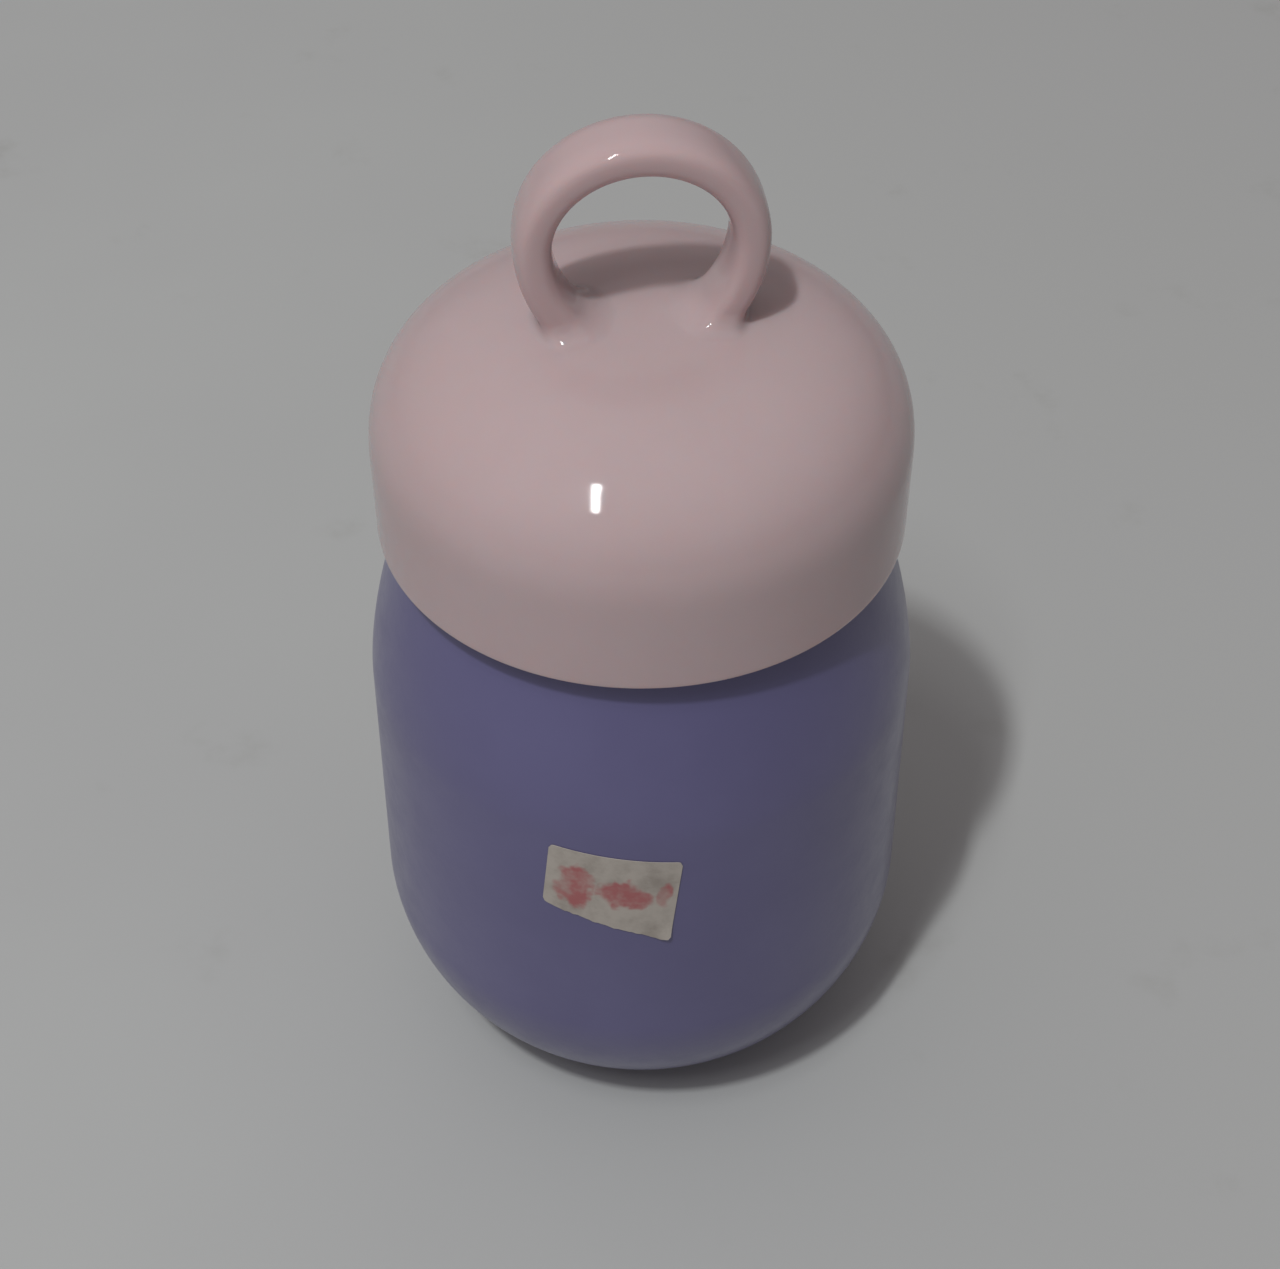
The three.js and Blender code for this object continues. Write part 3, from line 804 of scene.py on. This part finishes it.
def lid_cap():
    edge = CAP_LOW.z
    widest = CAP_HIGH.x
    skirt = [(widest - LID_EDGE_NARROWING, edge)]
    rise = np.linspace(0, 1, 13)[1:-1]
    narrowing = LID_EDGE_NARROWING * (1 - rise) ** 2
    skirt += [(float(widest - n), float(edge + (DOME_START - edge) * s)) for n, s in zip(narrowing, rise)]
    dome = quarter((widest, DOME_START), (0, DOME_TOP), DOME_POWER, 56, False)
    outside = skirt + dome
    inside = offset(outside, LID_WALL)
    inside[0] = (inside[0][0], edge)
    inside[-1] = (0, DOME_TOP - LID_WALL)
    inside = [p for p in inside if p[0] > 0.4 * MM or p[0] == 0]
    lower = [(*outside[0], 0.5 * MM)]
    inner = [(*inside[0], 0.4 * MM)]
    profile = outside[::-1][:-1] + rounded([outside[1]] + lower + inner + [inside[1]])[1:-1] + inside[1:]
    cap = revolve("lid_cap_visual", profile)
    loop = finger_loop()
    join = cap.modifiers.new("join", "BOOLEAN")
    join.operation = "UNION"
    join.solver = "EXACT"
    join.object = loop
    bpy.context.view_layer.update()
    joined = bpy.data.meshes.new_from_object(cap.evaluated_get(bpy.context.evaluated_depsgraph_get()))
    cap.modifiers.clear()
    cap.data = joined
    joined.shade_smooth()
    joined.set_sharp_from_angle(angle=math.radians(SHARP))
    bpy.data.objects.remove(loop)
    return cap


def lid_cup():
    low, top = CUP_LOW.z, CUP_HIGH.z
    ceiling = top - CUP_ROOF
    keeper = ceiling - KEEPER_DROP
    profile = rounded(
        [
            (0, ceiling),
            (KEEPER_INNER, ceiling, 0.4 * MM),
            (KEEPER_INNER, keeper, 0.4 * MM),
            (KEEPER_OUTER, keeper, 0.4 * MM),
            (KEEPER_OUTER, ceiling),
            (CUP_BORE, ceiling),
        ]
        + wall_rows(CUP_BORE, ceiling - 0.3 * MM, low + 0.6 * MM, THREAD_ROW)
        + [
            (CUP_BORE, low, 0.3 * MM),
            (CUP_HIGH.x, low, 0.4 * MM),
            (CUP_HIGH.x, top, 0.5 * MM),
            (0, top),
        ]
    )
    first = SHELL_HIGH.z + NECK_RIB_LIFT - THREAD_LEAD / THREAD_STARTS / 2
    first += THREAD_LEAD * CUP_RIB_DELAY / (2 * math.pi)
    relief = thread_relief(CUP_BORE, -CUP_RIB, CUP_RIB_DELAY, CUP_RIB_SWEEP, first, low, ceiling)
    return revolve("lid_cup_visual", profile, FINE_THREADED, relief, SHARP_THREADED)


def lid_foam():
    radius, low, high = FOAM_HIGH.x, FOAM_LOW.z, FOAM_HIGH.z
    profile = rounded([(0, low), (radius, low, 0.6 * MM), (radius, high, 1.4 * MM), (0, high)])
    return revolve("lid_foam_visual", profile)


def lid_gasket():
    """A silicone ring with a soft bead on the face that meets the rim."""
    inner, outer = KEEPER_OUTER + 0.4 * MM, GASKET_HIGH.x
    low, high = GASKET_LOW.z, GASKET_HIGH.z
    bead = 0.35 * MM
    middle = (inner + outer) / 2
    profile = rounded(
        [
            (inner, low + bead, 0.3 * MM),
            (middle - 1.3 * MM, low + bead, 0.3 * MM),
            (middle - 0.7 * MM, low, 0.4 * MM),
            (middle + 0.7 * MM, low, 0.4 * MM),
            (middle + 1.3 * MM, low + bead, 0.3 * MM),
            (outer, low + bead, 0.3 * MM),
            (outer, high, 0.4 * MM),
            (inner, high, 0.4 * MM),
        ]
    )
    return revolve("lid_gasket_visual", profile)


fit(outer_shell(), "lilac_coat", "flask", "outer_shell")
fit(inner_liner(), "bare_steel", "flask", "inner_liner")
fit(neck_ring(), "bare_steel", "flask", "neck_ring")
fit(base_plate(), "bare_steel", "flask", "base_plate")
fit(base_pad(), "pad_rubber", "flask", "base_pad")
fit(seal_bead(), "solder_glass", "flask", "vacuum_seal_bead")
fit(getter(), "getter_metal", "flask", "vacuum_getter")
fit(price_label(), "label_paper", "flask", "price_label")
fit(lid_cap(), "pink_plastic", "lid", "lid_cap")
fit(lid_cup(), "white_plastic", "lid", "lid_cup")
fit(lid_foam(), "foam", "lid", "lid_foam")
fit(lid_gasket(), "silicone", "seal", "lid_gasket")


# ---------------------------------------------------------------- camera, floor and light


def make_camera():
    """From above and a little to the left, looking down at the front of the flask."""
    data = bpy.data.cameras.new("camera")
    data.lens = CAMERA_LENS
    data.sensor_width = 36
    data.sensor_fit = "HORIZONTAL"
    data.shift_x = CAMERA_SHIFT
    data.clip_start = 0.01
    camera = bpy.data.objects.new("camera", data)
    bpy.context.collection.objects.link(camera)
    stand = Matrix.Rotation(CAMERA_TURN, 4, "Z") @ Matrix.Translation((0, -CAMERA_DISTANCE, CAMERA_HEIGHT))
    aim = Matrix.Rotation(CAMERA_PAN, 4, "Z") @ Matrix.Rotation(math.pi / 2 - CAMERA_TILT, 4, "X")
    camera.matrix_world = stand @ aim @ Matrix.Rotation(CAMERA_ROLL, 4, "Z")
    bpy.context.scene.camera = camera


def make_floor():
    """A pale matte surface with soft clouds and a few stains, painted greyer to the right as painted shade
    where the room's light falls off.
    """
    half = FLOOR_HALF
    corners = [(-half, -half, 0), (half, -half, 0), (half, half, 0), (-half, half, 0)]
    floor = piece("floor", corners, [(0, 1, 2, 3)])
    material, tree, shader = new_material("floor", Roughness=0.6)
    place = object_coordinates(tree)
    across = node(tree, "ShaderNodeSeparateXYZ", {0: place}).outputs[0]
    # Painted shade: the floor's colour darkens towards the right in place of the light falling off there.
    right = spread(tree, across, -0.2, 0.2, 0, 1)
    pale = mix_colour(tree, right, (0.48, 0.485, 0.485, 1), (0.43, 0.43, 0.43, 1))
    cloud = spread(tree, noise(tree, place, 9), 0.3, 0.7, 0, 0.5)
    pale = mix_colour(tree, cloud, pale, (0.44, 0.44, 0.445, 1))
    stains = spread(tree, noise(tree, place, 34, 5, 0.6), 0.60, 0.78, 0, 0.35)
    pale = mix_colour(tree, stains, pale, (0.33, 0.325, 0.31, 1))
    tree.links.new(pale, shader.inputs["Base Color"])
    floor.data.materials.append(material)


def make_sky():
    """An even room: brighter overhead and to the left than near the horizon."""
    world = bpy.data.worlds.new("room")
    world.use_nodes = True
    tree = world.node_tree
    place = node(tree, "ShaderNodeTexCoord").outputs["Generated"]
    x, _, z = node(tree, "ShaderNodeSeparateXYZ", {0: place}).outputs
    overhead = spread(tree, z, 0, 0.9, SKY_AT_HORIZON, SKY_OVERHEAD)
    terms = {0: x, 1: -SKY_TO_THE_LEFT, 2: overhead}
    strength = node(tree, "ShaderNodeMath", terms, operation="MULTIPLY_ADD").outputs[0]
    background = tree.nodes["Background"]
    background.inputs[0].default_value = SKY_COLOUR
    tree.links.new(strength, background.inputs[1])
    bpy.context.scene.world = world


def make_lights():
    """A small strong lamp high up to the left of the camera that no surface mirrors, and a long narrow light
    in front of it that the glossy ones do."""
    middle = Matrix.Translation((0, 0, LIGHT_AIM))
    aim = Matrix.Rotation(LIGHT_TURN, 4, "Z") @ Matrix.Rotation(math.pi / 2 - LIGHT_ELEVATION, 4, "X")
    lean = Matrix.Rotation(LIGHT_LEAN, 4, "Z")
    for name, distance, sides, energy, mirrored in LIGHTS:
        data = bpy.data.lights.new(name, "AREA")
        data.shape = "RECTANGLE"
        data.size, data.size_y = sides
        data.energy = energy
        data.color = LIGHT_COLOUR
        light = bpy.data.objects.new(name, data)
        bpy.context.collection.objects.link(light)
        light.matrix_world = middle @ aim @ Matrix.Translation((0, 0, distance)) @ lean
        light.visible_glossy = mirrored


make_camera()
make_floor()
make_sky()
make_lights()
bpy.context.scene.view_settings.view_transform = "Standard"
